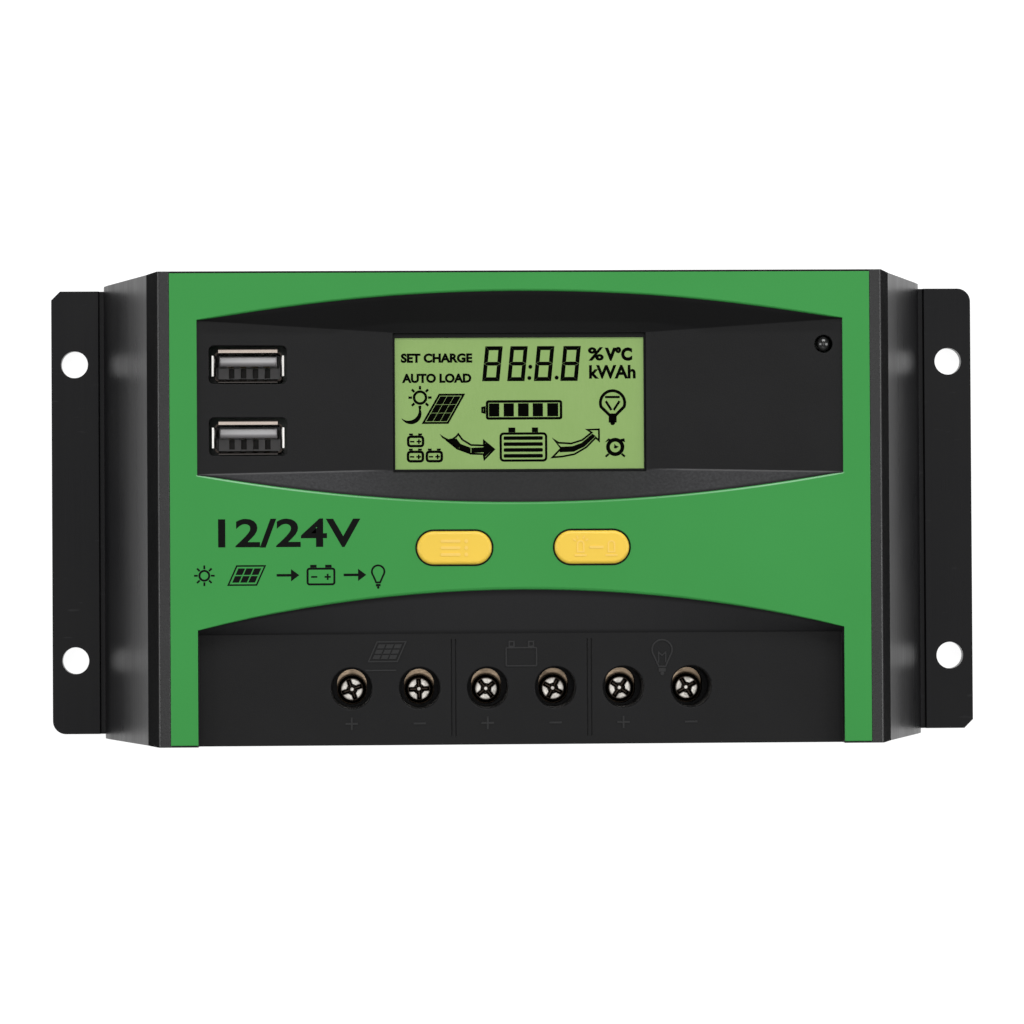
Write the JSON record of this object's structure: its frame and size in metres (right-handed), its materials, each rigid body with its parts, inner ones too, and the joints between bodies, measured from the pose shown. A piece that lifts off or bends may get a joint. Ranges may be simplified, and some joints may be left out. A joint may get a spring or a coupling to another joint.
{
  "type": "solar charge controller",
  "caption": "Wall-mounted solar charge controller with a green front, segment display, yellow push buttons, USB sockets, screw terminals and a flat-backed aluminium base.",
  "frame": {"origin": "centre of the flat back, on the plane that rests on the wall", "axes": "+Z out of the front, +Y towards the top edge (the display's end), +X to the right seen from the front"},
  "size_m": [0.189, 0.0924, 0.0466],
  "materials": {
    "anodised_black": "satin black anodised extrusion",
    "cover_black": "fine-textured black ABS",
    "label_green": "satin green printed film",
    "button_yellow": "smooth moulded yellow",
    "lcd_glass": "yellow-green liquid crystal display",
    "lcd_frame_black": "moulded",
    "backlight_white": "diffuser",
    "tinned_pins": "tinned",
    "nickel_steel": "nickel-plated sheet",
    "socket_insert": "light grey moulded",
    "sensor_black": "glossy epoxy",
    "circuit_board": "green solder mask",
    "zinc_steel": "zinc plated",
    "brass": "turned",
    "terminal_black": "moulded nylon",
    "terminal_nickel": "nickel over brass",
    "epoxy_black": "moulded epoxy",
    "thermal_grey": "silicone pad",
    "capacitor_sleeve": "shrink sleeve",
    "rubber_seal": "bung",
    "copper_alloy": "manganin",
    "fuse_body": "translucent"
  },
  "bodies": {
    "housing": {"heatsink_base": "anodised_black", "front_cover": "cover_black", "front_label": "label_green", "lcd_front_glass": "lcd_glass", "lcd_rear_glass": "lcd_glass", "lcd_frame": "lcd_frame_black", "switch_bodies": "lcd_frame_black", "board_link_headers": "lcd_frame_black", "lcd_backlight": "backlight_white", "lcd_pins": "tinned_pins", "board_link_pins": "tinned_pins", "mosfet_leads": "tinned_pins", "temperature_sensor_leads": "tinned_pins", "blade_fuse_blades": "tinned_pins", "usb_contacts": "tinned_pins", "mosfet_tabs": "tinned_pins", "usb_shell_upper": "nickel_steel", "usb_shell_lower": "nickel_steel", "usb_tongue_upper": "socket_insert", "usb_tongue_lower": "socket_insert", "temperature_sensor_bead": "sensor_black", "display_board": "circuit_board", "main_board": "circuit_board", "display_board_screws": "zinc_steel", "main_board_screws": "zinc_steel", "mosfet_screws": "zinc_steel", "cover_screws": "zinc_steel", "board_standoffs": "brass", "terminal_block_1": "terminal_black", "terminal_block_2": "terminal_black", "terminal_block_3": "terminal_black", "terminal_bars": "terminal_nickel", "mosfet_bodies": "epoxy_black", "control_chips": "epoxy_black", "power_inductor": "epoxy_black", "thermal_pad": "thermal_grey", "capacitor_cans": "capacitor_sleeve", "capacitor_seals": "rubber_seal", "current_shunt": "copper_alloy", "blade_fuse_bodies": "fuse_body"},
    "menu_button": {"button_menu": "button_yellow", "switch_plunger_menu": "lcd_frame_black"},
    "load_button": {"button_load": "button_yellow", "switch_plunger_load": "lcd_frame_black"},
    "screw_1": {"terminal_screw_1": "terminal_nickel"},
    "cage_1": {"wire_cage_1": "terminal_nickel"},
    "screw_2": {"terminal_screw_2": "terminal_nickel"},
    "cage_2": {"wire_cage_2": "terminal_nickel"},
    "screw_3": {"terminal_screw_3": "terminal_nickel"},
    "cage_3": {"wire_cage_3": "terminal_nickel"},
    "screw_4": {"terminal_screw_4": "terminal_nickel"},
    "cage_4": {"wire_cage_4": "terminal_nickel"},
    "screw_5": {"terminal_screw_5": "terminal_nickel"},
    "cage_5": {"wire_cage_5": "terminal_nickel"},
    "screw_6": {"terminal_screw_6": "terminal_nickel"},
    "cage_6": {"wire_cage_6": "terminal_nickel"}
  },
  "joints": [
    {"name": "menu_press", "type": "slide", "parent": "housing", "child": "menu_button", "axis": [0, 0, -1], "range_m": [0, 0.0005], "stiffness_N_per_m": 800, "springref_m": -0.001},
    {"name": "load_press", "type": "slide", "parent": "housing", "child": "load_button", "axis": [0, 0, -1], "range_m": [0, 0.0005], "stiffness_N_per_m": 800, "springref_m": -0.001},
    {"name": "screw_turn_1", "type": "hinge", "parent": "housing", "child": "screw_1", "pos_m": [-0.0332, -0.03565, 0.03], "axis": [0, 0, -1], "range_deg": [0, 2160.1]},
    {"name": "cage_rise_1", "type": "slide", "parent": "housing", "child": "cage_1", "axis": [0, 0, 1], "range_m": [0, 0.0042]},
    {"name": "screw_turn_2", "type": "hinge", "parent": "housing", "child": "screw_2", "pos_m": [-0.01992, -0.03565, 0.03], "axis": [0, 0, -1], "range_deg": [0, 2160.1]},
    {"name": "cage_rise_2", "type": "slide", "parent": "housing", "child": "cage_2", "axis": [0, 0, 1], "range_m": [0, 0.0042]},
    {"name": "screw_turn_3", "type": "hinge", "parent": "housing", "child": "screw_3", "pos_m": [-0.00664, -0.03565, 0.03], "axis": [0, 0, -1], "range_deg": [0, 2160.1]},
    {"name": "cage_rise_3", "type": "slide", "parent": "housing", "child": "cage_3", "axis": [0, 0, 1], "range_m": [0, 0.0042]},
    {"name": "screw_turn_4", "type": "hinge", "parent": "housing", "child": "screw_4", "pos_m": [0.00664, -0.03565, 0.03], "axis": [0, 0, -1], "range_deg": [0, 2160.1]},
    {"name": "cage_rise_4", "type": "slide", "parent": "housing", "child": "cage_4", "axis": [0, 0, 1], "range_m": [0, 0.0042]},
    {"name": "screw_turn_5", "type": "hinge", "parent": "housing", "child": "screw_5", "pos_m": [0.01992, -0.03565, 0.03], "axis": [0, 0, -1], "range_deg": [0, 2160.1]},
    {"name": "cage_rise_5", "type": "slide", "parent": "housing", "child": "cage_5", "axis": [0, 0, 1], "range_m": [0, 0.0042]},
    {"name": "screw_turn_6", "type": "hinge", "parent": "housing", "child": "screw_6", "pos_m": [0.0332, -0.03565, 0.03], "axis": [0, 0, -1], "range_deg": [0, 2160.1]},
    {"name": "cage_rise_6", "type": "slide", "parent": "housing", "child": "cage_6", "axis": [0, 0, 1], "range_m": [0, 0.0042]}
  ],
  "couplings": [
    {"joint": "screw_turn_1", "follows": "cage_rise_1", "rad_per_m": 8976},
    {"joint": "screw_turn_2", "follows": "cage_rise_2", "rad_per_m": 8976},
    {"joint": "screw_turn_3", "follows": "cage_rise_3", "rad_per_m": 8976},
    {"joint": "screw_turn_4", "follows": "cage_rise_4", "rad_per_m": 8976},
    {"joint": "screw_turn_5", "follows": "cage_rise_5", "rad_per_m": 8976},
    {"joint": "screw_turn_6", "follows": "cage_rise_6", "rad_per_m": 8976}
  ]
}
